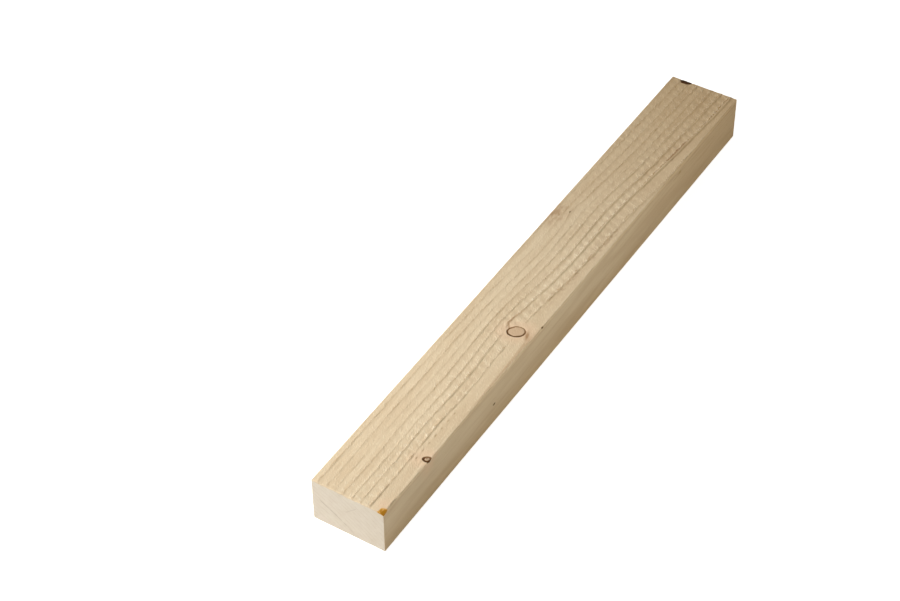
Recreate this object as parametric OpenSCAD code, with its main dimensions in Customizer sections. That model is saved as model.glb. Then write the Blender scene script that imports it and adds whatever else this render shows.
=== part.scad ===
// Sawn softwood plank, lying flat on its wide face.
// X runs along the grain, Y across the width and Z up. The origin is at the bottom centre.
// The near end is at -X. The right edge is at -Y, as seen when looking along +X.

/* [Plank] */
// Length along the grain
plank_length = 646; // [400:1:1200]
// Width of the sawn section
plank_width = 73; // [60:0.5:150]
// Thickness of the sawn section
plank_thickness = 48; // [36:0.5:75]
// Radius of the four eased long edges
arris_radius = 0.6; // [0.4:0.1:4]

/* [Trunk] */
// Distance of the trunk's pith from the left side of the plank
pith_from_left_side = 107; // [40:1:250]
// Depth of the pith below the underside of the plank
pith_below_underside = 181; // [80:1:400]
// Angle by which the branches rise towards the far end
branch_rise = 19; // [0:1:40]

/* [Face knot] */
// Distance of the knot's centre from the near end
face_knot_from_near_end = 243; // [60:0.5:340]
// Distance of the knot's centre from the right edge
face_knot_from_right_edge = 17.4; // [10:0.1:45]
// Diameter of its branch, bark included
face_knot_diameter = 13.9; // [6:0.1:20]

/* [Edge knot] */
// Distance of the knot's centre from the near end
edge_knot_from_near_end = 71; // [20:0.1:200]
// Distance of the knot's centre from the right edge
edge_knot_from_right_edge = 2.3; // [1:0.1:20]
// Diameter of its branch, bark included
edge_knot_diameter = 6.6; // [4:0.1:12]

/* [End knot] */
// Distance from the far end out to the centre of the knot that the saw cut through
end_knot_past_far_end = 2; // [0:0.1:4]
// Distance of the knot's centre from the left edge
end_knot_from_left_edge = 16.6; // [10:0.1:40]
// Diameter of its branch, bark included
end_knot_diameter = 11.6; // [9:0.1:20]

/* [Bark sleeve] */
// Thickness of the bark left round each dead branch
bark_thickness = 1.4; // [0.6:0.1:1.8]
// Depth of the sunken bark below the sawn face
bark_depth = 0.6; // [0.2:0.1:1.5]

/* [Chipped corner] */
// Length of the chip along the right edge
chip_along_edge = 6.8; // [3:0.1:15]
// Width of the chip along the near end
chip_across_end = 5.8; // [3:0.1:15]
// Drop of the chip down the corner
chip_drop = 1.8; // [0.6:0.1:6]

/* [Hidden] */

$fn = 96;

near_end_x = -plank_length / 2;
far_end_x = plank_length / 2;
right_edge_y = -plank_width / 2;
left_edge_y = plank_width / 2;

pith_y = left_edge_y + pith_from_left_side;
pith_z = -pith_below_underside;

// Each knot: place along, place across, diameter of its branch
FACE_KNOT = [
    near_end_x + face_knot_from_near_end,
    right_edge_y + face_knot_from_right_edge,
    face_knot_diameter
];
EDGE_KNOT = [
    near_end_x + edge_knot_from_near_end,
    right_edge_y + edge_knot_from_right_edge,
    edge_knot_diameter
];
END_KNOT = [
    far_end_x + end_knot_past_far_end,
    left_edge_y - end_knot_from_left_edge,
    end_knot_diameter
];
KNOTS = [FACE_KNOT, EDGE_KNOT, END_KNOT];

// Lean from upright, across the plank, of a branch that grew from the pith out to y on the sawn face
function branch_lean(y) = atan2(pith_y - y, plank_thickness - pith_z);

// Rectangle of the given size, standing on y = 0, with true arcs at its corners
module eased_rectangle(width, height, radius) {
    translate([-width / 2, radius])
        square([width, height - 2 * radius]);
    translate([radius - width / 2, 0])
        square([width - 2 * radius, height]);
    for (side = [-1, 1], z = [radius, height - radius])
        translate([side * (width / 2 - radius), z])
            circle(r = radius);
}

// The sawn length before its knots and its chip
module sawn_length() {
    rotate([90, 0, 90])
        linear_extrude(plank_length, center = true)
            eased_rectangle(plank_width, plank_thickness, arris_radius);
}

// Layer just under the sawn face, as deep as the bark has sunk
module sunken_layer() {
    translate([-plank_length, -plank_width, plank_thickness - bark_depth])
        cube([2 * plank_length, 2 * plank_width, plank_thickness]);
}

// Bark tube round a branch that points away from the pith, cut off where the bark is flush again
module bark_groove(knot) {
    diameter = knot[2];
    reach = 4 * diameter;
    intersection() {
        translate([knot[0], knot[1], plank_thickness])
            rotate([branch_lean(knot[1]), 0, 0])
                rotate([0, branch_rise, 0])
                    difference() {
                        cylinder(h = reach, d = diameter, center = true);
                        cylinder(h = 2 * reach, d = diameter - 2 * bark_thickness, center = true);
                    }
        sunken_layer();
    }
}

// Flat flake broken off the corner where the right edge meets the near end
module corner_flake() {
    slope = [-1 / chip_along_edge, -1 / chip_across_end, 1 / chip_drop];
    tilt = acos(slope[2] / norm(slope));
    heading = atan2(slope[1], slope[0]);
    reach = 2 * (chip_along_edge + chip_across_end + chip_drop);
    translate([near_end_x, right_edge_y, plank_thickness - chip_drop])
        rotate([0, tilt, heading])
            translate([-reach, -reach, 0])
                cube(2 * reach);
}

module plank() {
    color("BurlyWood")
        difference() {
            sawn_length();
            for (knot = KNOTS)
                bark_groove(knot);
            corner_flake();
        }
}

plank();
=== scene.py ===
import math
from types import SimpleNamespace

import bpy
import numpy as np
from mathutils import Matrix, Vector


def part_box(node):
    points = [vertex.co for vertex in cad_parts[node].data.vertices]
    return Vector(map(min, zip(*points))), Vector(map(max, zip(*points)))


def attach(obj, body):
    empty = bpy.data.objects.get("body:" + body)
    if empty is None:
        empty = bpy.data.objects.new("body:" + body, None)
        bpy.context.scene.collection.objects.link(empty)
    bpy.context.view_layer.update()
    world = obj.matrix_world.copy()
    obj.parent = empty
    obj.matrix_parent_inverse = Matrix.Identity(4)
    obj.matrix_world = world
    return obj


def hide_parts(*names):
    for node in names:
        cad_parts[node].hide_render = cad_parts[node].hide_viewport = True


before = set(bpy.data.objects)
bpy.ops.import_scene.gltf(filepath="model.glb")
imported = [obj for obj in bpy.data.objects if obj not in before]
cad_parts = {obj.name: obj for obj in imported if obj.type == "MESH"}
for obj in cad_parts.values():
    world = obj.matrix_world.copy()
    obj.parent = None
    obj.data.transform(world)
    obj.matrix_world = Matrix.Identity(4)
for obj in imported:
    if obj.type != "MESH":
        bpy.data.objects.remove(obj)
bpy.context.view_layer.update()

# Sizes are in millimetres. A place on the plank is (u, v, z): u along from the near end, v across from
# the left edge and z up from the underside.
MM = 0.001
LOW, HIGH = (np.array(corner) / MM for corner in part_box("plank"))
LENGTH, WIDTH, THICKNESS = HIGH - LOW
ARRIS_RADIUS = 0.6

# The trunk that the plank was sawn from
PITH_FROM_LEFT = 107.0
PITH_BELOW = 181.0
BRANCH_RISE = math.radians(19)
INNER_RING_WIDTH = 4.1
INNER_RINGS = 20
OUTER_RING_WIDTH = 8.0

# Where the latewood lines meet the top of the near end, from the left edge
LINES_AT_NEAR_END = (6.4, 15.3, 23.4, 31.8, 41.0, 49.4, 58.9, 71.9)
# How strongly each line shows at three places along the plank; the last entry is for the ring beyond them
STRENGTH_PLACES = (110.0, 370.0, 540.0)
LINE_STRENGTHS = (
    (0.54, 0.52, 0.25, 0.58, 0.72, 0.86, 0.78, 0.3, 0.3),
    (0.16, 0.38, 0.45, 0.92, 1.02, 2.05, 1.25, 0.3, 0.3),
    (0.64, 0.75, 0.4, 1.3, 2.4, 3.1, 1.15, 0.3, 0.3),
)
INNER_LINE_STRENGTH = 0.55
# How strongly the strokes of the saw show at the same places, in the gap after each line
STROKE_STRENGTHS = (
    (0.13, 0.2, 0.3, 0.6, 0.9, 1.0, 0.1, 0.0),
    (0.2, 0.3, 0.45, 0.6, 1.2, 1.5, 0.2, 0.0),
    (0.85, 1.05, 1.15, 1.05, 1.6, 0.25, 0.0, 0.0),
)
# The lines show less on the other long faces than on the top, and least on the right side
RIGHT_LINE_SHARE = 0.3
HIDDEN_LINE_SHARE = 0.7
# Beside a knot, each line comes back between these distances from the bark
LINE_BACK_AT = (0.3, 3.5)
# Lines that break off beside the face knot: which line, how far along and over what reach
BROKEN_LINES = ((6, 237, 6), (7, 242, 22))
# The seventh line is frayed all along, and the sixth is darkest at one place on the top face
FRAYED_LINE = SimpleNamespace(line=7, length=3.5, least=0.25, span=1.5)
DARKEST_LINE = SimpleNamespace(line=6, along=539, reach=22, depth=3, extra=0.5)
# Each line, and the gap after it, takes its noise from a row of its own; steps from one row to the next
LINE_ROW = 7.3
BEAD_ROW = 5.9
GAP_ROW = 5.1

# The grain drifts to the right from here on, swerves past branches and other growth, and wanders a little
DRIFT_FROM = 204.0
DRIFT_SLOPE = 0.032
SWERVE_PASSES = 20
GRAIN_WANDER = 0.6


def swerve(along, reach_along, across, reach_across, push):
    """One push of the grain to the right (or left, if negative) about a place on the top face."""
    return SimpleNamespace(
        along=along, reach_along=reach_along, across=across, reach_across=reach_across, push=push
    )


SWERVES = (
    swerve(256, 57, 44, 25, -5.1),
    swerve(431, 58, 30, 30, -4.4),
    swerve(622, 90, 51, 9, 4.0),
    swerve(105, 36, 80, 58, -2.1),
    swerve(520, 130, 61.4, 5.2, 4.9),
    swerve(350, 40, 6, 10, 1.8),
    swerve(411, 14, 14, 6, -2.9),
    swerve(249, 9, 49, 4, -2.5),
)


def branch(along, across, radius, bark, heart_tone, bark_tone):
    """A branch that grew from the pith out through the top face at this place, sheathed in bark."""
    lean = math.atan2(PITH_FROM_LEFT + across, PITH_BELOW + THICKNESS)
    outward = math.cos(BRANCH_RISE)
    axis = np.array([math.sin(BRANCH_RISE), math.sin(lean) * outward, math.cos(lean) * outward])
    grown = math.hypot(PITH_FROM_LEFT + across, PITH_BELOW + THICKNESS) / outward
    return SimpleNamespace(
        place=np.array([along, across, THICKNESS]),
        axis=axis,
        grown=grown,
        radius=radius,
        bark=bark,
        heart_tone=heart_tone,
        bark_tone=bark_tone,
    )


# The knots, with tones from 0 for pale to 1 for dark
FACE_KNOT = branch(243, WIDTH - 17.4, radius=6.95, bark=1.4, heart_tone=0.0, bark_tone=0.6)
EDGE_KNOT = branch(71, WIDTH - 2.3, radius=3.4, bark=1.8, heart_tone=0.15, bark_tone=0.9)
# The knot at the far end is painted near black: partly its dark bark and heart, partly a painted shadow of
# the pocket it sits in
END_KNOT = branch(LENGTH + 2, 16.6, radius=6.5, bark=1.4, heart_tone=1.0, bark_tone=1.0)
KNOTS = (FACE_KNOT, EDGE_KNOT, END_KNOT)
# Their outlines wander, from a start of their own in the noise
KNOT_WOBBLE = 0.5
KNOT_WOBBLE_LENGTH = 3.1
KNOT_WOBBLE_START = (21.7, 9.3)
# Their bark has sunk between soft rims, and their wood was cut smooth
BARK_DEPTH = 0.4
BARK_RIM = (0.25, -0.15)
HEART_RIM = 0.3
HEART_DEPTH = 0.1
HEART_ROUGHNESS = 0.1
# Low in the plank the branches were alive, and their bark is pale
ALIVE_BELOW = THICKNESS - 30
DEAD_ABOVE = THICKNESS - 8

# Relief of the sawn top face, about the plane that the saw ran in
SOFT_WOOD_DEPTH = 0.25
FIBRE_HEIGHT = 0.15
LUMP_HEIGHT = 0.25
# The ridge of each line: its height, the highest that it may stand, its slopes left and right of the crest,
# and how far the crest lies left of the line
RIDGE_HEIGHT = 0.62
RIDGE_LIMIT = 0.85
RIDGE_RISE = 0.9
RIDGE_DROP = 0.5
CREST_BEFORE_LINE = 0.35
# The strokes of the saw: how they slant at the near and the far end, and how they wander and shake
SAW_PITCH = 10.14
FIRST_STROKE = 3.5
SAW_HEIGHT = 0.175
SAW_SLANTS = (0.2, 0.8)
SAW_WANDER = 2.0
SAW_SHAKE = 2.6
# The share of the relief that is left at the far end, and how far in from there it is whole
CLEAN_END_SHARE = 0.2
CLEAN_END = 6.0

# A row of short raised dashes, one for each stroke of the saw, along the right of the seventh line
FIRST_DASH = 66.5
DASH_COUNT = 7
DASHES = FIRST_DASH + SAW_PITCH * np.arange(DASH_COUNT)
DASHES_ACROSS = 61.4
DASH_HEIGHT = 0.45
DASH_LEAN = 0.25
DASH_RISE = 1.5
DASH_DROP = 0.6
DASH_REACH = 2.4

# Unevenness of the other long faces, of the arrises and of the cut ends
SIDE_WAVES = 0.12
SIDE_FIBRES = 0.05
SIDE_RIDGES = 0.05
ARRIS_WANDER = 0.25
ARRIS_TEAR = 0.4
END_EASE = 0.3
TOP_END_EASE = 1.2
CUT_UNEVENNESS = 0.12

# The corner that broke off along a resin pocket, and the small flakes off the arris beside it
CHIP_ALONG = 6.8
CHIP_ACROSS = 5.8
CHIP_DROP = 1.8
CHIP_ROUGHNESS = 0.25
CHIP_BUMP = 1.3
FLAKE_DEPTH = 1.2
FLAKE_LENGTH = 4.5
SMALLEST_FLAKE = 0.05
FLAKES_ALONG = 15
FLAKES_REACH = 10

# Turns places on the top face so that the first axis lies along the tufts of torn fibre
TUFT_ANGLE = math.radians(41)
OBLIQUE_TURN = np.array(
    [
        [math.cos(TUFT_ANGLE), math.sin(TUFT_ANGLE), 0],
        [-math.sin(TUFT_ANGLE), math.cos(TUFT_ANGLE), 0],
        [0, 0, 1],
    ]
)

# Mesh steps
STEP_ALONG = 1.7
STEP_AT_KNOTS = 0.6
# How many radii of a knot the finer steps reach, and the small step by which they are counted off
FINE_REACH = 1.5
COUNTING_STEP = 0.1
# Stations at each end, measured from it, and the least gap to the next one
END_STATIONS = np.array([0, 0.1, 0.35, 0.75, 1.25])
END_STATIONS_GAP = 0.3
# Steps round the section, and over the ends towards their middle
TOP_STEPS = 132
SIDE_STEPS = 16
UNDERSIDE_STEPS = 16
ARRIS_STEPS = 3
CAP_SCALES = (0.97, 0.9, 0.8, 0.68, 0.54, 0.38, 0.2)
# Edges sharper than this are not shaded smooth
SHARP_ANGLE = math.radians(50)
# Gap round the patches of the unwrapped faces
PATCH_GAP = 5.0


def step_between(x, low, high):
    """0 at low, 1 at high and a smooth step between them; low may be the larger."""
    t = np.clip((x - low) / (high - low), 0, 1)
    return t * t * (3 - 2 * t)


def stretch(x, start, end):
    """1 along a stretch, with smooth steps up over its start and down over its end, both pairs of places."""
    return step_between(x, *start) * step_between(x, *end[::-1])


def bell(x, reach):
    """1 at x = 0, falling off smoothly on both sides."""
    return np.exp(-((x / reach) ** 2))


def noise(x, y, length, width, seed):
    """Smooth noise from 0 to 1, with bumps of about this length along x and this width along y."""
    size = 256
    table = np.random.default_rng(seed).random((size, size))
    x = x / length
    y = y / width
    i = np.floor(x).astype(int)
    j = np.floor(y).astype(int)
    past_x = step_between(x - i, 0, 1)
    past_y = step_between(y - j, 0, 1)
    i, next_i = i % size, (i + 1) % size
    j, next_j = j % size, (j + 1) % size
    near = table[i, j] * (1 - past_x) + table[next_i, j] * past_x
    far = table[i, next_j] * (1 - past_x) + table[next_i, next_j] * past_x
    return near * (1 - past_y) + far * past_y


def noise_along(x, length, seed):
    """Smooth noise from 0 to 1 along x alone, with bumps of about this length."""
    return noise(x, np.zeros_like(x), length, 1, seed)


def swing(x, y, length, width, seed):
    """Smooth noise from -0.5 to 0.5."""
    return noise(x, y, length, width, seed) - 0.5


def about_one(values):
    """Shares from 0.55 to 1.45, out of noise from 0 to 1."""
    return 0.55 + 0.9 * values


def undisturbed_across(u, v, z):
    """Where across the near end the fibre through this place started, before it drifted and swerved."""
    depth = z - THICKNESS
    outward = FACE_KNOT.axis / FACE_KNOT.axis[2]
    drift = DRIFT_SLOPE * np.maximum(0, u - DRIFT_FROM)
    across = v - drift
    for _ in range(SWERVE_PASSES):
        pushed = np.zeros_like(across)
        for s in SWERVES:
            along = bell(u - s.along - outward[0] * depth, s.reach_along)
            pushed += s.push * along * bell(across - s.across - outward[1] * depth, s.reach_across)
        across = v - drift - pushed
    return across + GRAIN_WANDER * swing(u, v + z, length=8, width=7, seed=22)


def line_radii():
    """Distances from the pith to the latewood lines, from the innermost one out."""
    across = np.array(LINES_AT_NEAR_END)
    outer = np.hypot(across + PITH_FROM_LEFT, PITH_BELOW + THICKNESS)
    inner = outer[0] - INNER_RING_WIDTH * np.arange(INNER_RINGS, 0, -1)
    beyond = outer[-1] + OUTER_RING_WIDTH
    return np.concatenate([inner, outer, [beyond]])


def strength_along(table, column, u):
    """Strength from one column of a table, blended from place to place along the plank."""
    near, middle, far = (np.array(row)[column] for row in table)
    to_middle = np.interp(u, STRENGTH_PLACES, (0, 1, 1))
    to_far = np.interp(u, STRENGTH_PLACES, (0, 0, 1))
    return near + to_middle * (middle - near) + to_far * (far - middle)


def line_strength(line, u):
    """How strongly a line of line_radii shows, this far along the plank."""
    inner = (INNER_LINE_STRENGTH,) * INNER_RINGS
    return strength_along([inner + row for row in LINE_STRENGTHS], line, u)


def shown_strength(places, line, outside):
    """How strongly the line nearest to each place shows there, with all that weakens or darkens it."""
    u, v, z = places.T
    strength = line_strength(line, u)
    strength *= about_one(noise(u, line * LINE_ROW, length=38, width=1, seed=21))
    strength *= about_one(noise(u, line * BEAD_ROW, length=5, width=1, seed=23))
    strength *= step_between(outside, *LINE_BACK_AT)
    on_right = v > WIDTH - ARRIS_RADIUS / 2
    hidden = np.minimum(v, z) < ARRIS_RADIUS / 2
    strength *= np.where(on_right, RIGHT_LINE_SHARE, np.where(hidden, HIDDEN_LINE_SHARE, 1))

    face_line = line - INNER_RINGS + 1
    for broken_line, along, reach in BROKEN_LINES:
        strength *= 1 - np.where(face_line == broken_line, bell(u - along, reach), 0)
    frayed = FRAYED_LINE.least + FRAYED_LINE.span * noise_along(u, FRAYED_LINE.length, seed=24)
    strength *= np.where(face_line == FRAYED_LINE.line, frayed, 1)
    darker = DARKEST_LINE.extra * bell(u - DARKEST_LINE.along, DARKEST_LINE.reach)
    darker *= z > THICKNESS - DARKEST_LINE.depth
    return strength * (1 + np.where(face_line == DARKEST_LINE.line, darker, 0))


def knot_wobble(places):
    """How far the outline of a knot wanders in or out at each place."""
    u = places[:, 0] + KNOT_WOBBLE_START[0]
    v = places[:, 1] + KNOT_WOBBLE_START[1]
    return KNOT_WOBBLE * swing(u, v, KNOT_WOBBLE_LENGTH, KNOT_WOBBLE_LENGTH, seed=11)


def bark_distance(places):
    """Distance outside the bark of the nearest branch, and the thickness of that bark."""
    nearest = np.full(len(places), np.inf)
    bark = np.ones(len(places))
    for knot in KNOTS:
        offset = places - knot.place
        rise = offset @ knot.axis
        beside = np.linalg.norm(offset - rise[:, None] * knot.axis, axis=1)
        distance = beside - knot.radius * (1 + rise / knot.grown) + knot_wobble(places)
        closer = distance < nearest
        nearest = np.where(closer, distance, nearest)
        bark = np.where(closer, knot.bark, bark)
    return nearest, bark


def growth(places):
    """The wood at each place, as named fields: its ring, and the line and the knot that are nearest to it."""
    u, v, z = places.T
    across = undisturbed_across(u, v, z)
    radius = np.hypot(across + PITH_FROM_LEFT, z + PITH_BELOW)
    turn = np.arctan2(z + PITH_BELOW, across + PITH_FROM_LEFT)
    radii = line_radii()
    ring = np.interp(radius, radii, np.arange(len(radii), dtype=float))
    inner_line = np.clip(np.floor(ring).astype(int), 0, len(radii) - 2)
    outside, bark = bark_distance(places)
    return SimpleNamespace(
        across=across,
        radius=radius,
        around=turn * radius.mean(),
        ring=ring,
        face_ring=ring - INNER_RINGS + 1,
        spacing=np.diff(radii)[inner_line],
        strength=shown_strength(places, np.rint(ring).astype(int), outside),
        outside=outside,
        bark=bark,
    )


def ridge(wood):
    """The latewood ridge: it rises slowly from the left and drops sharply at the line."""
    part = wood.ring - np.floor(wood.ring)
    past_line = np.where(part > 0.5, part - 1, part) * wood.spacing
    past_crest = past_line + CREST_BEFORE_LINE
    rising = np.exp(np.minimum(past_crest, 0) / RIDGE_RISE)
    return np.where(past_crest < 0, rising, bell(past_crest, RIDGE_DROP))


def saw_strokes(u, v, wood, ahead):
    """The ripple that the strokes of the saw left between the lines, moved ahead by this part of a stroke."""
    gap = np.floor(wood.face_ring).astype(int)
    part = wood.face_ring - gap
    slant = np.interp(u, (0, LENGTH), SAW_SLANTS) * (part - 0.5) * wood.spacing
    wander = SAW_WANDER * swing(u, v, length=17, width=20, seed=31)
    shake = SAW_SHAKE * swing(u, v, length=6, width=2.5, seed=33)
    stroke = (u - FIRST_STROKE + slant + wander + shake) / SAW_PITCH
    # The ripple is weakest at the lines, and each stroke has a strength of its own.
    ripple = np.sin(2 * math.pi * (stroke + ahead)) * (0.55 + 0.45 * np.sin(math.pi * part))
    ripple *= about_one(noise(stroke + 0.5, gap * GAP_ROW, length=1, width=1, seed=32))
    column = np.clip(gap - 1, 0, len(STROKE_STRENGTHS[0]) - 1)
    return ripple * strength_along(STROKE_STRENGTHS, column, u)


def raised_dashes(u, v):
    """The row of dashes: each rises slowly from the left and drops sharply on the right."""
    height = np.zeros_like(u)
    for dash in DASHES:
        along = u - dash
        side = v - DASHES_ACROSS + DASH_LEAN * along
        height += np.where(side < 0, bell(side, DASH_RISE), bell(side, DASH_DROP)) * bell(along, DASH_REACH)
    return height


def top_depth(places, wood):
    """How far the worn top face lies below the plane of the saw; the hard lines stand proud of it."""
    u, v, _ = places.T
    height = RIDGE_HEIGHT * ridge(wood) * wood.strength
    height += SAW_HEIGHT * saw_strokes(u, v, wood, ahead=0)
    height += DASH_HEIGHT * raised_dashes(u, v)
    height += FIBRE_HEIGHT * swing(u, wood.across, length=8, width=0.9, seed=41)
    height += LUMP_HEIGHT * swing(u, wood.across, length=4, width=2.4, seed=42)
    # The far end was cut cleanly, so the relief dies away there.
    height *= CLEAN_END_SHARE + (1 - CLEAN_END_SHARE) * step_between(LENGTH - u, 0, CLEAN_END)
    depth = np.maximum(SOFT_WOOD_DEPTH - height, -RIDGE_LIMIT)
    # The knots were cut smooth, and their bark has sunk.
    heart = step_between(wood.outside, -wood.bark + HEART_RIM, -wood.bark - HEART_RIM)
    heart_depth = HEART_DEPTH + HEART_ROUGHNESS * swing(u, v, length=2, width=2, seed=44)
    sunk = step_between(wood.outside, *BARK_RIM) * (1 - heart)
    return depth * (1 - heart) + heart_depth * heart + BARK_DEPTH * sunk


def side_depth(places, wood):
    """Slight unevenness of the other long faces."""
    u, v, z = places.T
    depth = SIDE_WAVES * noise(u, v + z, length=40, width=9, seed=51)
    depth += SIDE_FIBRES * noise(u, v + z, length=6, width=1.5, seed=52)
    return depth + SIDE_RIDGES * (1 - ridge(wood)) * wood.strength


def arris_depth(u, around, normal):
    """How far the arrises are worn back: they wander a little, and the right one on top is torn."""
    corner = 4 * (normal[:, 0] * normal[:, 1]) ** 2
    torn = (normal[:, 0] > 0) & (normal[:, 1] > 0)
    wander = ARRIS_WANDER * noise(u, around, length=9, width=30, seed=53)
    return corner * (wander + ARRIS_TEAR * torn * noise_along(u, length=6, seed=56) ** 2)


def end_depth(base, upward):
    """How far the edges of the ends are rounded off, most of all the upper edge of the near end."""
    u, v, z = base.T
    ease = END_EASE + (TOP_END_EASE - END_EASE) * upward * (u < LENGTH / 2)
    ease *= 0.6 + 0.8 * noise(v, z, length=1.7, width=1.7, seed=54)
    to_round = np.clip(1 - np.minimum(u, LENGTH - u) / ease, 0, 1)
    return ease * (1 - np.sqrt(1 - to_round**2))


def section_ring():
    """Outline of the section as (v, z), from the left of the top face round to the right, and its normals."""
    r = ARRIS_RADIUS
    places, normals = [], []

    def straight(start, end, steps, normal):
        for t in np.arange(steps) / steps:
            places.append((start[0] + (end[0] - start[0]) * t, start[1] + (end[1] - start[1]) * t))
            normals.append(normal)

    def arc(centre, start_angle):
        for t in np.arange(ARRIS_STEPS) / ARRIS_STEPS:
            angle = math.radians(start_angle - 90 * t)
            normal = (math.cos(angle), math.sin(angle))
            places.append((centre[0] + r * normal[0], centre[1] + r * normal[1]))
            normals.append(normal)

    straight((r, THICKNESS), (WIDTH - r, THICKNESS), TOP_STEPS, (0, 1))
    arc((WIDTH - r, THICKNESS - r), 90)
    straight((WIDTH, THICKNESS - r), (WIDTH, r), SIDE_STEPS, (1, 0))
    arc((WIDTH - r, r), 0)
    straight((WIDTH - r, 0), (r, 0), UNDERSIDE_STEPS, (0, -1))
    arc((r, r), -90)
    straight((0, r), (0, THICKNESS - r), SIDE_STEPS, (-1, 0))
    arc((r, THICKNESS - r), 180)
    return np.array(places), np.array(normals)


def stations_along():
    """Places along the plank at which its section is drawn, closer together at the knots and the ends."""
    u = np.arange(0, LENGTH, COUNTING_STEP)
    at_knots = np.zeros_like(u)
    for knot in KNOTS:
        at_knots = np.maximum(at_knots, bell(u - knot.place[0], FINE_REACH * knot.radius) ** 0.5)
    density = 1 / STEP_ALONG + (1 / STEP_AT_KNOTS - 1 / STEP_ALONG) * at_knots
    passed = np.concatenate([[0], np.cumsum(density)]) * COUNTING_STEP
    count = round(passed[-1])
    stations = np.interp(np.arange(count + 1) * passed[-1] / count, passed, np.append(u, LENGTH))
    first = END_STATIONS[-1] + END_STATIONS_GAP
    inner = stations[(stations > first) & (stations < LENGTH - first)]
    return np.concatenate([END_STATIONS, inner, LENGTH - END_STATIONS[::-1]])


def long_surface(stations, outline, normals):
    """Places on the top, sides, underside and arrises, station by station."""
    u = np.repeat(stations, len(outline))
    base = np.column_stack([u, np.tile(outline, (len(stations), 1))])
    normal = np.tile(normals, (len(stations), 1))
    wood = growth(base)
    upward = np.clip(normal[:, 1], 0, 1) ** 2
    depth = upward * top_depth(base, wood) + (1 - upward) * side_depth(base, wood)
    depth += arris_depth(u, base[:, 1] + base[:, 2], normal) + end_depth(base, upward)
    places = base.copy()
    places[:, 1:] -= normal * depth[:, None]
    # The underside stays on the floor.
    places[:, 2] = np.maximum(places[:, 2], 0)
    return places


def end_cap(rim, inward):
    """Shrinking rings of places over one end, with a last one at the middle."""
    middle = rim.mean(axis=0)
    middle[0] = rim[0, 0]
    rings = [middle + (rim - middle) * scale for scale in CAP_SCALES]
    cap = np.concatenate(rings + [middle[None]])
    cap[:, 0] += inward * CUT_UNEVENNESS * noise(cap[:, 1], cap[:, 2], length=4, width=4, seed=55)
    return cap


def chip_corner(places):
    """Presses what stands beyond the broken corner back on to the break."""
    slope = np.array([-1 / CHIP_ALONG, 1 / CHIP_ACROSS, 1 / CHIP_DROP])
    corner = np.array([0, WIDTH, THICKNESS - CHIP_DROP])
    outward = slope / np.linalg.norm(slope)
    beyond = (places - corner) @ outward
    rough = CHIP_ROUGHNESS * noise(places[:, 0], places[:, 1], CHIP_BUMP, CHIP_BUMP, seed=61)
    return places - np.maximum(0, beyond + rough * (beyond > 0))[:, None] * outward


def flake_arris(places):
    """Presses the right top arris back where small flakes broke off it beside the chip."""
    u = places[:, 0]
    flake = FLAKE_DEPTH * step_between(noise_along(u, FLAKE_LENGTH, seed=62), 0.3, 0.7)
    flake *= bell(u - FLAKES_ALONG, FLAKES_REACH)
    outward = np.array([0, 1, 1]) / math.sqrt(2)
    beyond = (places - [0, WIDTH, THICKNESS]) @ outward + flake
    return places - np.maximum(0, beyond * (flake > SMALLEST_FLAKE))[:, None] * outward


def grid_faces(first, second):
    """Quads between two closed rows of vertex numbers."""
    return np.column_stack([first, np.roll(first, -1), np.roll(second, -1), second])


def cap_faces(rim, start):
    """Quads and a closing fan over an end cap whose own vertices begin at start."""
    count = len(rim)
    rows = [rim] + [start + count * k + np.arange(count) for k in range(len(CAP_SCALES))]
    quads = np.concatenate([grid_faces(a, b)[:, ::-1] for a, b in zip(rows, rows[1:])])
    middle = np.full(count, start + count * len(CAP_SCALES))
    fan = np.column_stack([rows[-1], middle, np.roll(rows[-1], -1)])
    return quads, fan


def plank_mesh():
    """The whole plank as one closed mesh, with the fields of its wood as attributes."""
    outline, normals = section_ring()
    stations = stations_along()
    body = long_surface(stations, outline, normals)
    rows = np.arange(len(body)).reshape(len(stations), len(outline))
    near_cap = end_cap(body[rows[0]], inward=1)
    far_cap = end_cap(body[rows[-1]], inward=-1)
    unbroken = np.concatenate([body, near_cap, far_cap])
    places = flake_arris(chip_corner(unbroken))

    long_quads = np.concatenate([grid_faces(a, b) for a, b in zip(rows, rows[1:])])
    near_quads, near_fan = cap_faces(rows[0], len(body))
    far_quads, far_fan = cap_faces(rows[-1], len(body) + len(near_cap))
    quads = np.concatenate([long_quads, near_quads, far_quads[:, ::-1]])
    fans = np.concatenate([near_fan, far_fan[:, ::-1]])

    mesh = bpy.data.meshes.new("plank_wood")
    vertices = np.column_stack([LOW[0] + places[:, 0], HIGH[1] - places[:, 1], places[:, 2]]) * MM
    mesh.from_pydata(vertices.tolist(), [], quads.tolist() + fans.tolist())
    on_end = np.arange(len(mesh.polygons)) >= len(long_quads)
    mesh.polygons.foreach_set("material_index", on_end.astype(int))
    mesh.polygons.foreach_set("use_smooth", np.ones(len(mesh.polygons), bool))
    mesh.set_sharp_from_angle(angle=SHARP_ANGLE)
    unwrap(mesh, places, outline, len(long_quads))
    add_fields(mesh, unbroken)
    mesh.validate()
    return mesh


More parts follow.
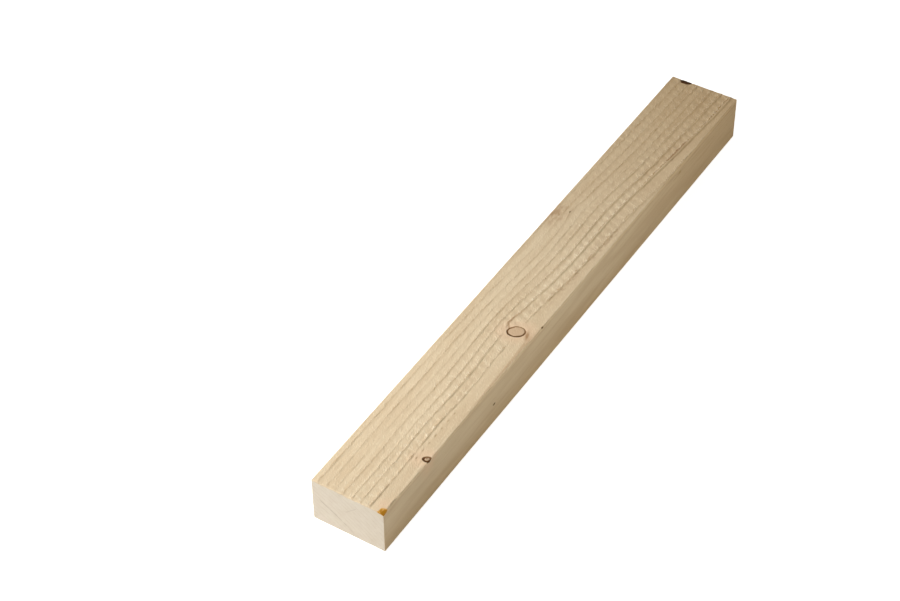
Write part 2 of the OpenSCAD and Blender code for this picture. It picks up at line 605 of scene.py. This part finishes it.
def unwrap(mesh, places, outline, long_count):
    """One strip for the long faces, unrolled round the section, and a patch for each end."""
    count = len(outline)
    sides = np.linalg.norm(np.diff(outline, axis=0, append=outline[:1]), axis=1)
    around = np.concatenate([[0], np.cumsum(sides)])
    corners = np.empty(len(mesh.loops), int)
    mesh.loops.foreach_get("vertex_index", corners)
    long_loops = 4 * long_count
    on_long, on_ends = np.split(places[corners], [long_loops])
    ring_step = np.arange(long_count) % count
    strip = around[np.column_stack([ring_step, ring_step + 1, ring_step + 1, ring_step])].ravel()

    # The quads of the near end come first, then those of the far end, and the two fans in the same order.
    quad_loops = 4 * count * len(CAP_SCALES)
    fan_loops = 3 * count
    on_far_end = np.repeat([0, 1, 0, 1], [quad_loops, quad_loops, fan_loops, fan_loops])
    u = np.concatenate([on_long[:, 0], on_ends[:, 1] + on_far_end * (WIDTH + PATCH_GAP)]) + PATCH_GAP
    v = np.concatenate([strip, on_ends[:, 2] + around[-1] + PATCH_GAP]) + PATCH_GAP
    width = LENGTH + 2 * PATCH_GAP
    height = around[-1] + THICKNESS + 3 * PATCH_GAP
    layer = mesh.uv_layers.new(name="OFBake")
    layer.data.foreach_set("uv", np.column_stack([u / width, v / height]).ravel())


# Resin on the broken corner: how far it reaches, and the depths between which it dies away
RESIN = SimpleNamespace(reach_along=6.6, reach_across=7, depth=(4.5, 1.5), bump=1.9)
# Depths below the top between which stains and tufts of torn fibre die away, and at which the lit slopes that
# get a painted highlight end
STAIN_DEPTH = (1.6, 0.8)
TUFT_DEPTH = (2, 1)
LIT_SLOPE_DEPTH = 2
# A darker band along the right edge, up to the face knot
BAND = SimpleNamespace(
    along=(128, 165, 215, 236),
    from_right=(-0.5, 2.8, 3.8, 4.8),
    softness=0.8,
    right=(0.4, 1.8),
    end=(252, 238),
    amount=0.35,
)
# A dark flame between the face knot and the right edge
FLAME = SimpleNamespace(across=66.4, lean=0.35, reach_along=5.5, reach_across=2, amount=1.0)
# A brown horn that curls from the face knot towards the far end
HORN = SimpleNamespace(
    along=(243.7, 249, 261, 275),
    across=(47.5, 43.3, 44.8, 47.9),
    width=0.9,
    start=(242, 244),
    end=(246, 285),
    amount=0.8,
)
# Mottled wood at the left edge, with flecks along two leaning axes
MOTTLE = SimpleNamespace(
    along=399,
    reach_along=17,
    across=6,
    reach_across=9,
    leans=(-1.2, 2.5),
    ground=0.4,
    amount=0.5,
)
# A dark seam along the sixth line, and frays along the seventh
SEAM = SimpleNamespace(ring=5.93, width=0.75, start=(518, 530), end=(554, 566), amount=0.8)
FRAYS = SimpleNamespace(ring=7, width=1.8, start=(265, 290), end=(400, 430), amount=0.4)
# Pinkish wood round the face knot and the edge knot, and beside the resin
PINK = SimpleNamespace(knot_reach=13, knots_before=400, resin_along=9, resin_across=67, resin_reach=6)
# Painted shade: the wood is painted darker and warmer towards the far end and, less so, low on the sides
PAINTED_SHADE_PLACES = SimpleNamespace(along=(330, 680), height=(28, 2), low_amount=0.6)
# Painted light: the sides are painted ever paler from the first of these depths below the top up to the
# second
ARRIS_LIGHT_DEPTH = (3.6, 0.2)


def edge_band(u, v):
    from_right = WIDTH - v
    past_edge = np.interp(u, BAND.along, BAND.from_right) - from_right
    band = step_between(past_edge, -BAND.softness, BAND.softness) * step_between(from_right, *BAND.right)
    return BAND.amount * band * step_between(u, *BAND.end)


def knot_flame(u, v):
    along = u - FACE_KNOT.place[0]
    side = v - FLAME.across + FLAME.lean * along
    return FLAME.amount * bell(along, FLAME.reach_along) * bell(side, FLAME.reach_across)


def knot_horn(u, v):
    path = np.interp(u, HORN.along, HORN.across)
    return HORN.amount * bell(v - path, HORN.width) * stretch(u, HORN.start, HORN.end)


def edge_mottle(u, v):
    disturbed = bell(u - MOTTLE.along, MOTTLE.reach_along) * bell(v - MOTTLE.across, MOTTLE.reach_across)
    first, second = (u + lean * v for lean in MOTTLE.leans)
    flecks = step_between(noise(first, second, length=5, width=4, seed=71), 0.35, 0.8)
    return MOTTLE.amount * disturbed * (MOTTLE.ground + flecks)


def along_ring(u, wood, stain):
    """A stain that follows one ring along a stretch of the plank."""
    aside = (wood.face_ring - stain.ring) * wood.spacing
    return stain.amount * bell(aside, stain.width) * stretch(u, stain.start, stain.end)


def stain_fields(places, wood):
    """Amounts, from 0 to 1, of the stains that colour the wood here and there."""
    u, v, z = places.T
    on_top = step_between(THICKNESS - z, *STAIN_DEPTH)
    resin = bell(u, RESIN.reach_along) * bell(WIDTH - v, RESIN.reach_across)
    resin *= step_between(THICKNESS - z, *RESIN.depth)
    resin *= about_one(noise(u, v + z, RESIN.bump, RESIN.bump, seed=72))
    frayed = step_between(noise(u, v, length=2.4, width=1.4, seed=73), 0.5, 0.8)
    stains = [
        edge_band(u, v),
        knot_flame(u, v),
        knot_horn(u, v),
        edge_mottle(u, v),
        along_ring(u, wood, SEAM),
        along_ring(u, wood, FRAYS) * frayed,
    ]
    halo = step_between(wood.outside, PINK.knot_reach, 0) * (wood.outside > 0) * (u < PINK.knots_before)
    by_resin = bell(u - PINK.resin_along, PINK.resin_reach) * bell(v - PINK.resin_across, PINK.resin_reach)
    return {
        "resin": resin,
        "stain": np.maximum.reduce(stains) * on_top,
        "pink": np.maximum(halo, by_resin * on_top),
    }


def add_fields(mesh, places):
    """Stores the wood's fields on the vertices, for the materials to read."""
    u, v, z = places.T
    wood = growth(places)
    on_side = np.minimum(v, WIDTH - v) < ARRIS_RADIUS / 2
    # Moved ahead by a quarter of a stroke, the ripple is highest where its slopes face the near end and the
    # front lamp; the pale tufts laid there are partly a painted highlight.
    lit_slope = np.clip(saw_strokes(u, v, wood, ahead=0.25), 0, 1)
    fields = {
        "ring": wood.ring,
        "ring_width": wood.spacing,
        "line_strength": wood.strength,
        "knot_wobble": knot_wobble(places),
        # Painted shade towards the far end and low on the sides
        "painted_shade": np.maximum(step_between(u, *PAINTED_SHADE_PLACES.along), PAINTED_SHADE_PLACES.low_amount * step_between(z, *PAINTED_SHADE_PLACES.height)),
        # Painted light on the sides, paler towards the top arris
        "arris_light": step_between(THICKNESS - z, *ARRIS_LIGHT_DEPTH) * on_side,
        "lit_slope": lit_slope * (z > THICKNESS - LIT_SLOPE_DEPTH),
    }
    fields.update(stain_fields(places, wood))
    for name, values in fields.items():
        layer = mesh.attributes.new(name, "FLOAT", "POINT")
        layer.data.foreach_set("value", values.astype(np.float32))
    vectors = {
        "place": places,
        "grain": np.column_stack([u, wood.radius, wood.around]),
        "oblique": places @ OBLIQUE_TURN,
    }
    for name, values in vectors.items():
        layer = mesh.attributes.new(name, "FLOAT_VECTOR", "POINT")
        layer.data.foreach_set("vector", values.astype(np.float32).ravel())


class Shader:
    """Short ways to build the nodes of one material."""

    def __init__(self, name):
        self.material = bpy.data.materials.new(name)
        self.material.use_nodes = True
        self.tree = self.material.node_tree
        self.surface = self.tree.nodes["Principled BSDF"]

    def feed(self, socket, value):
        """Links a socket to another, or sets it to a plain value."""
        if isinstance(value, bpy.types.NodeSocket):
            self.tree.links.new(value, socket)
        else:
            socket.default_value = value

    def field(self, name, output="Fac"):
        """A number that is stored on the vertices."""
        node = self.tree.nodes.new("ShaderNodeAttribute")
        node.attribute_name = name
        return node.outputs[output]

    def vector_field(self, name):
        """A vector that is stored on the vertices."""
        return self.field(name, "Vector")

    def math(self, operation, *values, clamp=False):
        node = self.tree.nodes.new("ShaderNodeMath")
        node.operation = operation
        node.use_clamp = clamp
        for socket, value in zip(node.inputs, values):
            self.feed(socket, value)
        return node.outputs[0]

    def product(self, *values):
        result = values[0]
        for value in values[1:]:
            result = self.math("MULTIPLY", result, value)
        return result

    def total(self, *parts, start=0.0):
        """The sum of some values, each times its share, and a start."""
        result = start
        for value, share in parts:
            result = self.math("MULTIPLY_ADD", value, share, result)
        return result

    def step(self, value, low, high):
        """0 at low, 1 at high and a smooth step between them; low may be the larger."""
        node = self.tree.nodes.new("ShaderNodeMapRange")
        node.interpolation_type = "SMOOTHSTEP"
        turned = low > high
        self.feed(node.inputs["Value"], value)
        self.feed(node.inputs["From Min"], min(low, high))
        self.feed(node.inputs["From Max"], max(low, high))
        self.feed(node.inputs["To Min"], 1.0 if turned else 0.0)
        self.feed(node.inputs["To Max"], 0.0 if turned else 1.0)
        return node.outputs["Result"]

    def stretch(self, value, start, end):
        """1 along a stretch, with a smooth step up over its start and down over its end."""
        return self.product(self.step(value, *start), self.step(value, *end[::-1]))

    def vector(self, operation, *values, output="Vector"):
        node = self.tree.nodes.new("ShaderNodeVectorMath")
        node.operation = operation
        for socket, value in zip(node.inputs, values):
            self.feed(socket, value)
        return node.outputs[output]

    def along(self, vector, direction):
        """How far a vector reaches along a direction."""
        return self.vector("DOT_PRODUCT", vector, direction, output="Value")

    def length(self, vector):
        return self.vector("LENGTH", vector, output="Value")

    def noise(self, vector, scale, detail=2.0, roughness=0.55):
        node = self.tree.nodes.new("ShaderNodeTexNoise")
        self.feed(node.inputs["Vector"], self.vector("MULTIPLY", vector, scale))
        self.feed(node.inputs["Scale"], 1.0)
        self.feed(node.inputs["Detail"], detail)
        self.feed(node.inputs["Roughness"], roughness)
        return node.outputs["Fac"]

    def mix(self, amount, first, second, blend="MIX"):
        """A colour between two others, each a socket or a plain colour."""
        node = self.tree.nodes.new("ShaderNodeMix")
        node.data_type = "RGBA"
        node.blend_type = blend
        self.feed(node.inputs["Factor"], amount)
        for socket, colour in ((node.inputs["A"], first), (node.inputs["B"], second)):
            self.feed(socket, colour if isinstance(colour, bpy.types.NodeSocket) else (*colour, 1.0))
        return node.outputs["Result"]

    def paint(self, colour, second, mask, share):
        """Lays a share of a second colour over the first, where the mask is 1."""
        return self.mix(self.math("MULTIPLY", mask, share, clamp=True), colour, second)

    def bump(self, height, strength):
        """Bump from a height in millimetres."""
        node = self.tree.nodes.new("ShaderNodeBump")
        self.feed(node.inputs["Strength"], strength)
        self.feed(node.inputs["Distance"], MM)
        self.feed(node.inputs["Height"], height)
        return node.outputs["Normal"]


ALONG_X, ALONG_Y, ALONG_Z = (1, 0, 0), (0, 1, 0), (0, 0, 1)

# Colours of the wood, in linear light
EARLYWOOD = (0.78, 0.63, 0.43)
LATEWOOD = (0.52, 0.345, 0.18)
# Painted shade, multiplied over the wood towards the far end and low on the sides
PAINTED_SHADE_TINT = (0.9, 0.82, 0.71)
# Pale torn fibre, partly a painted highlight
TORN_FIBRE_AND_HIGHLIGHT = (0.93, 0.82, 0.62)
DEEP_GRAIN = (0.70, 0.54, 0.35)
# Painted light for the upper edge of the sides
ARRIS_PAINTED_LIGHT = (0.93, 0.75, 0.51)
PINKISH = (0.85, 0.605, 0.41)
HEART = (0.69, 0.495, 0.325)
# Near black: a dead knot's heart, and in the far end's knot also a painted shadow
DARK_HEART_AND_SHADOW = (0.05, 0.02, 0.006)
BARK_PALE = (0.38, 0.22, 0.11)
BARK_DARK = (0.10, 0.042, 0.012)
STAIN = (0.42, 0.24, 0.12)
PIP = (0.13, 0.065, 0.022)
RESIN_PALE = (0.76, 0.43, 0.12)
RESIN_DEEP = (0.44, 0.19, 0.008)
CUT_FIBRES = (0.79, 0.70, 0.57)
CUT_LATEWOOD = (0.64, 0.53, 0.39)
CUT_DARK = (0.45, 0.36, 0.25)

# How rough the wood is to light, and how much glossier the resin
SAWN_ROUGHNESS = 0.78
CUT_ROUGHNESS = 0.85
RESIN_GLOSS = 0.4
SPECULAR = 0.15

# Noise in the grain: bumps for each millimetre along it, out from the pith and round the pith
FIBRES = (0.05, 1.6, 1.6)
FINE_FIBRES = (0.25, 4.0, 4.0)
BROAD_BANDS = (0.012, 0.12, 0.12)
LINE_BEADS = (0.3, 0.3, 0.3)
PORES = (0.0, 2.2, 2.2)
CUT_BANDS = (0.0, 0.12, 0.12)
RING_DASHES = (0.0, 0.3, 0.16)
# The same for the tufts of torn fibre, along and across the tufts and up
TUFTS = (0.3, 0.8, 0.5)

# Heights of the finest relief, for bump
FIBRE_BUMP = 0.06
FINE_FIBRE_BUMP = 0.05
LINE_BUMP = 0.05
TUFT_BUMP = 0.45
PORE_BUMP = 0.12

# Widths of a line's colour on the sawn faces and on the ends, and its jitter as a part of the ring
LINE_WIDTH = 0.9
CUT_LINE_WIDTH = 1.3
LINE_JITTER = 0.12

# Knots: growth rings for each millimetre, how mottled the bark is, how much painted shade darkens its near
# side, and how soft its edges are
KNOT_RINGS = 0.9
BARK_MOTTLE = 0.6
BARK_SHADE = 0.6
BARK_EDGE = 0.2
HEART_EDGE = 0.25

# Small dark pips: their centres and how far they reach along each axis
PIPS = (
    ((409, 15.3, THICKNESS), (1.7, 0.9, 3.0)),
    ((259.5, WIDTH, THICKNESS), (2.2, 1.6, 1.6)),
    ((71, WIDTH - 3.0, THICKNESS), (0.8, 0.7, 2.0)),
    ((68, WIDTH, THICKNESS), (1.6, 1.8, 1.8)),
    ((176, WIDTH, 23), (2.8, 1.5, 1.6)),
)
# A painted shadow at the foot of each raised dash, on its right: its offset along and across, and its reach
# along each axis
DASH_SHADOW_ALONG = 0.6
DASH_SHADOW_ACROSS = 0.7
DASH_SHADOW_REACH = (2.2, 0.9, 2.0)

# On the end faces: an arc of one ring that the saw darkened, and a hairline check between two places
DARK_RING_RADIUS = 237.3
DARK_RING_WIDTH = 1.2
DARK_RING_START = (6.0, 10.0)
DARK_RING_END = (30.0, 50.0)
CHECK_START = np.array([0, 33.8, 26.4])
CHECK_END = np.array([0, 45.7, 38.0])
CHECK_WIDTH = 0.7
CHECK_FADE = 2.0
CHECK_AMOUNT = 0.5


def to_line(s, jitter):
    """Distance, inwards along the radius, from each place to the outer edge of its ring, with some jitter."""
    ring = s.math("ADD", s.field("ring"), jitter)
    return s.math("MULTIPLY", s.math("SUBTRACT", 1.0, s.math("FRACT", ring)), s.field("ring_width"))


def torn_fibre_and_highlights(s, before):
    """Short oblique tufts torn up by the saw on the top face, most of them on the left flanks of lines and on
    slopes that face the near end; their pale colour is partly a painted highlight.
    """
    lit_slope = s.field("lit_slope")
    uneven = s.noise(s.vector_field("oblique"), TUFTS)
    tufts_and_highlights = s.step(s.total((lit_slope, 0.1), start=uneven), 0.48, 0.78)
    flank = s.product(s.step(before, 2.6, 0.4), s.field("line_strength"))
    amount = s.total((flank, 0.7), (lit_slope, 0.25), start=0.45)
    height = s.along(s.vector_field("place"), ALONG_Z)
    on_top = s.step(height, *(THICKNESS - depth for depth in TUFT_DEPTH))
    return s.math("MULTIPLY", s.product(tufts_and_highlights, on_top), amount, clamp=True)


def spot(s, centre, reach):
    """1 at the centre of a small mark, falling to 0 at its reach along each axis."""
    offset = s.vector("SUBTRACT", s.vector_field("place"), centre)
    return s.step(s.length(s.vector("DIVIDE", offset, reach)), 1.0, 0.4)


def blend(first, second, amount):
    """A colour between two others."""
    return tuple(a + (b - a) * amount for a, b in zip(first, second))


def with_knot(s, colour, knot, fine):
    """Paints the wood and the bark of one branch over the wood round it."""
    place = s.vector_field("place")
    offset = s.vector("SUBTRACT", place, knot.place)
    rise = s.along(offset, knot.axis)
    beside = s.vector("SUBTRACT", offset, s.vector("MULTIPLY", rise, knot.axis))
    wandering = s.math("SUBTRACT", s.field("knot_wobble"), knot.radius)
    outside = s.math("ADD", s.length(beside), s.total((rise, -knot.radius / knot.grown), start=wandering))

    rings = s.math("FRACT", s.math("MULTIPLY", outside, KNOT_RINGS))
    specks = s.total((rings, 0.2), (s.step(fine, 0.5, 0.75), 0.25))
    pale_heart = blend(HEART, DARK_HEART_AND_SHADOW, knot.heart_tone)
    dark_heart = blend(LATEWOOD, DARK_HEART_AND_SHADOW, knot.heart_tone)
    heart_wood = s.mix(specks, pale_heart, dark_heart)
    # Painted shade makes the bark darkest on the near side of the branch, and deep in the trunk the branch
    # was alive.
    near_side_shade = s.along(beside, (-BARK_SHADE / knot.radius, 0, 0))
    mottled = s.total((fine, BARK_MOTTLE), start=knot.bark_tone - BARK_MOTTLE / 2)
    tone = s.math("ADD", near_side_shade, mottled, clamp=True)
    tone = s.product(tone, s.step(s.along(place, ALONG_Z), ALIVE_BELOW, DEAD_ABOVE))

    colour = s.mix(s.step(outside, BARK_EDGE, -BARK_EDGE), colour, s.mix(tone, BARK_PALE, BARK_DARK))
    return s.mix(s.step(outside, HEART_EDGE - knot.bark, -HEART_EDGE - knot.bark), colour, heart_wood)


def with_marks(s, colour, fine):
    """Paints the stains, knots, pips, a painted shadow beside each raised dash and resin over the wood's own
    colour, and says where the resin is.
    """
    colour = s.paint(colour, PINKISH, s.field("pink"), share=0.55)
    colour = s.mix(s.field("stain"), colour, STAIN)
    for knot in KNOTS:
        colour = with_knot(s, colour, knot, fine)
    for centre, reach in PIPS:
        colour = s.mix(spot(s, centre, reach), colour, PIP)
    # Painted shadow at the foot of each raised dash, where it drops away on the right
    for dash in DASHES:
        dash_shadow = spot(s, (dash + DASH_SHADOW_ALONG, DASHES_ACROSS + DASH_SHADOW_ACROSS, THICKNESS), DASH_SHADOW_REACH)
        colour = s.paint(colour, LATEWOOD, dash_shadow, share=0.5)
    resin = s.step(s.field("resin"), 0.36, 0.5)
    deep = s.step(s.total((fine, 0.4), start=s.field("resin")), 0.6, 0.95)
    return s.mix(resin, colour, s.mix(deep, RESIN_PALE, RESIN_DEEP)), resin


def finished(s, colour, resin, roughness, height, bump):
    """The material, once its surface has been fed."""
    s.feed(s.surface.inputs["Base Color"], colour)
    s.feed(s.surface.inputs["Roughness"], s.total((resin, -RESIN_GLOSS), start=roughness))
    s.feed(s.surface.inputs["Specular IOR Level"], SPECULAR)
    s.feed(s.surface.inputs["Normal"], s.bump(height, bump))
    return s.material


def sawn_wood():
    """Wood along the grain: latewood lines, fibres, and the marks on the faces."""
    s = Shader("sawn_softwood")
    grain = s.vector_field("grain")
    fibres = s.noise(grain, FIBRES, detail=4.0)
    fine = s.noise(grain, FINE_FIBRES, detail=3.0)
    broad = s.noise(grain, BROAD_BANDS)
    beads = s.noise(grain, LINE_BEADS)
    before = to_line(s, s.total((beads, LINE_JITTER), start=-LINE_JITTER / 2))
    beaded = s.total((s.step(beads, 0.35, 0.65), 0.9), start=0.5)
    late = s.product(s.step(before, LINE_WIDTH, 0.0), s.field("line_strength"), beaded)
    tufts_and_highlights = torn_fibre_and_highlights(s, before)

    colour = s.mix(s.step(broad, 0.3, 0.75), EARLYWOOD, DEEP_GRAIN)
    colour = s.paint(colour, LATEWOOD, late, share=0.58)
    colour = s.paint(colour, DEEP_GRAIN, s.step(fibres, 0.45, 0.8), share=0.3)
    # Pale torn fibre on the flanks and slopes that face the lamps, partly a painted highlight
    colour = s.paint(colour, TORN_FIBRE_AND_HIGHLIGHT, tufts_and_highlights, share=0.7)
    # Painted light: the sides paler towards their top edge
    colour = s.paint(colour, ARRIS_PAINTED_LIGHT, s.field("arris_light"), share=0.8)
    # Painted shade: darker and warmer towards the far end and low on the sides
    colour = s.mix(s.field("painted_shade"), colour, PAINTED_SHADE_TINT, blend="MULTIPLY")
    colour, resin = with_marks(s, colour, fine)
    height = s.total((fibres, FIBRE_BUMP), (fine, FINE_FIBRE_BUMP), (late, LINE_BUMP), (tufts_and_highlights, TUFT_BUMP))
    return finished(s, colour, resin, SAWN_ROUGHNESS, height, bump=0.8)


def hairline_check(s, place):
    """1 along the check, falling to 0 at its ends and on both sides."""
    run = CHECK_END - CHECK_START
    length = float(np.linalg.norm(run))
    way = run / length
    offset = s.vector("SUBTRACT", place, CHECK_START)
    in_run = s.stretch(s.along(offset, way), (0.0, CHECK_FADE), (length - CHECK_FADE, length))
    aside = s.math("ABSOLUTE", s.along(offset, np.cross(way, ALONG_X)))
    return s.product(s.step(aside, CHECK_WIDTH, 0.0), in_run)


def end_grain():
    """Wood cut across the grain: paler, with the rings as faint arcs, one dark ring and a hairline check."""
    s = Shader("softwood_end_grain")
    grain = s.vector_field("grain")
    place = s.vector_field("place")
    pores = s.noise(grain, PORES, detail=4.0)
    broad = s.noise(grain, CUT_BANDS)
    dashes = s.noise(grain, RING_DASHES)
    rings = s.product(s.step(to_line(s, 0.0), CUT_LINE_WIDTH, 0.0), s.step(dashes, 0.3, 0.7))

    off_ring = s.math("ABSOLUTE", s.math("SUBTRACT", s.along(grain, ALONG_Y), DARK_RING_RADIUS))
    in_arc = s.stretch(s.along(place, ALONG_Y), DARK_RING_START, DARK_RING_END)
    dark_ring = s.product(s.step(off_ring, DARK_RING_WIDTH, 0.0), in_arc, s.step(dashes, 0.2, 0.6))
    check = s.product(hairline_check(s, place), CHECK_AMOUNT)

    colour = s.paint(CUT_FIBRES, CUT_LATEWOOD, s.step(broad, 0.3, 0.75), share=0.25)
    colour = s.paint(colour, CUT_LATEWOOD, rings, share=0.6)
    colour = s.paint(colour, CUT_LATEWOOD, s.step(pores, 0.5, 0.8), share=0.25)
    colour = s.paint(colour, CUT_DARK, s.math("MAXIMUM", dark_ring, check), share=0.6)
    colour, resin = with_marks(s, colour, pores)
    height = s.product(pores, PORE_BUMP)
    return finished(s, colour, resin, CUT_ROUGHNESS, height, bump=0.5)


def make_plank():
    plank = bpy.data.objects.new("plank_wood", plank_mesh())
    bpy.context.scene.collection.objects.link(plank)
    plank.data.materials.append(sawn_wood())
    plank.data.materials.append(end_grain())
    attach(plank, "root")
    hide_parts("plank")


# The photograph's camera, fitted to the corners of the plank in the 900 x 601 picture; places in metres
IMAGE_WIDTH = 900
FOCAL_PIXELS = 2189.55
SENSOR_WIDTH = 36.0
CAMERA_PLACE = Vector((-1.294459, -0.726010, 1.421186))
CAMERA_RIGHT = Vector((0.5320954, -0.8466393, -0.0087389))
CAMERA_FORWARD = Vector((0.6105704, 0.3908406, -0.6888014))


def make_camera():
    data = bpy.data.cameras.new("camera")
    data.sensor_width = SENSOR_WIDTH
    data.lens = FOCAL_PIXELS * SENSOR_WIDTH / IMAGE_WIDTH
    camera = bpy.data.objects.new("camera", data)
    up = CAMERA_RIGHT.cross(CAMERA_FORWARD)
    axes = Matrix((CAMERA_RIGHT, up, -CAMERA_FORWARD)).transposed().to_4x4()
    camera.matrix_world = Matrix.Translation(CAMERA_PLACE) @ axes
    bpy.context.scene.collection.objects.link(camera)
    bpy.context.scene.camera = camera


# Lamps, floor and backdrop, in metres and watts
WHITE = (1.0, 1.0, 1.0)
WARM = (1.0, 0.94, 0.79)
LAMP_TARGET = Vector((0, 0, 0.03))
FLOOR_COLOUR = (0.8, 0.8, 0.8, 1.0)
FLOOR_ROUGHNESS = 0.9
FLOOR_GLOW = 0.8
FLOOR_HALF = 6.0
SKY_LIGHT = 0.08


def make_lamp(name, place, size, power, colour=WHITE):
    """A square soft lamp aimed at the middle of the plank."""
    data = bpy.data.lights.new(name, "AREA")
    data.shape = "SQUARE"
    data.size = size
    data.energy = power
    data.color = colour
    lamp = bpy.data.objects.new(name, data)
    lamp.location = place
    aim = LAMP_TARGET - Vector(place)
    lamp.rotation_euler = aim.to_track_quat("-Z", "Y").to_euler()
    bpy.context.scene.collection.objects.link(lamp)


def make_lamps():
    make_lamp("key", place=(-0.37, 0.56, 0.59), size=0.5, power=7.2)
    make_lamp("front", place=(-1.35, 0.2, 0.25), size=0.5, power=5.1)
    make_lamp("fill", place=(0.0, -0.55, 0.42), size=0.8, power=1.95, colour=WARM)
    make_lamp("back", place=(1.25, 0.06, 0.085), size=0.17, power=3.6)


def seen_directly(tree):
    """1 for what the camera sees directly, in a mirror or through glass, and 0 for light on the object."""
    path = tree.nodes.new("ShaderNodeLightPath")
    seen = path.outputs["Is Camera Ray"]
    for kind in ("Is Glossy Ray", "Is Transmission Ray"):
        either = tree.nodes.new("ShaderNodeMath")
        either.operation = "MAXIMUM"
        tree.links.new(seen, either.inputs[0])
        tree.links.new(path.outputs[kind], either.inputs[1])
        seen = either.outputs[0]
    return seen


def make_floor():
    """A pale floor that looks white and keeps the plank's shadow."""
    mesh = bpy.data.meshes.new("floor")
    corners = [(x * FLOOR_HALF, y * FLOOR_HALF, 0) for x, y in ((-1, -1), (1, -1), (1, 1), (-1, 1))]
    mesh.from_pydata(corners, [], [(0, 1, 2, 3)])
    floor = bpy.data.objects.new("floor", mesh)
    bpy.context.scene.collection.objects.link(floor)
    material = bpy.data.materials.new("pale_floor")
    material.use_nodes = True
    tree = material.node_tree
    surface = tree.nodes["Principled BSDF"]
    surface.inputs["Base Color"].default_value = FLOOR_COLOUR
    surface.inputs["Roughness"].default_value = FLOOR_ROUGHNESS
    surface.inputs["Specular IOR Level"].default_value = 0.0
    surface.inputs["Emission Color"].default_value = (*WHITE, 1.0)
    glow = tree.nodes.new("ShaderNodeMath")
    glow.operation = "MULTIPLY"
    glow.inputs[1].default_value = FLOOR_GLOW
    tree.links.new(seen_directly(tree), glow.inputs[0])
    tree.links.new(glow.outputs[0], surface.inputs["Emission Strength"])
    mesh.materials.append(material)


def make_world():
    """A white backdrop that lights the plank only faintly."""
    world = bpy.data.worlds.new("studio")
    world.use_nodes = True
    tree = world.node_tree
    background = tree.nodes["Background"]
    background.inputs["Color"].default_value = (*WHITE, 1.0)
    strength = tree.nodes.new("ShaderNodeMapRange")
    strength.inputs["To Min"].default_value = SKY_LIGHT
    strength.inputs["To Max"].default_value = 1.0
    tree.links.new(seen_directly(tree), strength.inputs["Value"])
    tree.links.new(strength.outputs["Result"], background.inputs["Strength"])
    bpy.context.scene.world = world


bpy.context.scene.view_settings.view_transform = "Standard"
make_camera()
make_plank()
make_floor()
make_world()
make_lamps()
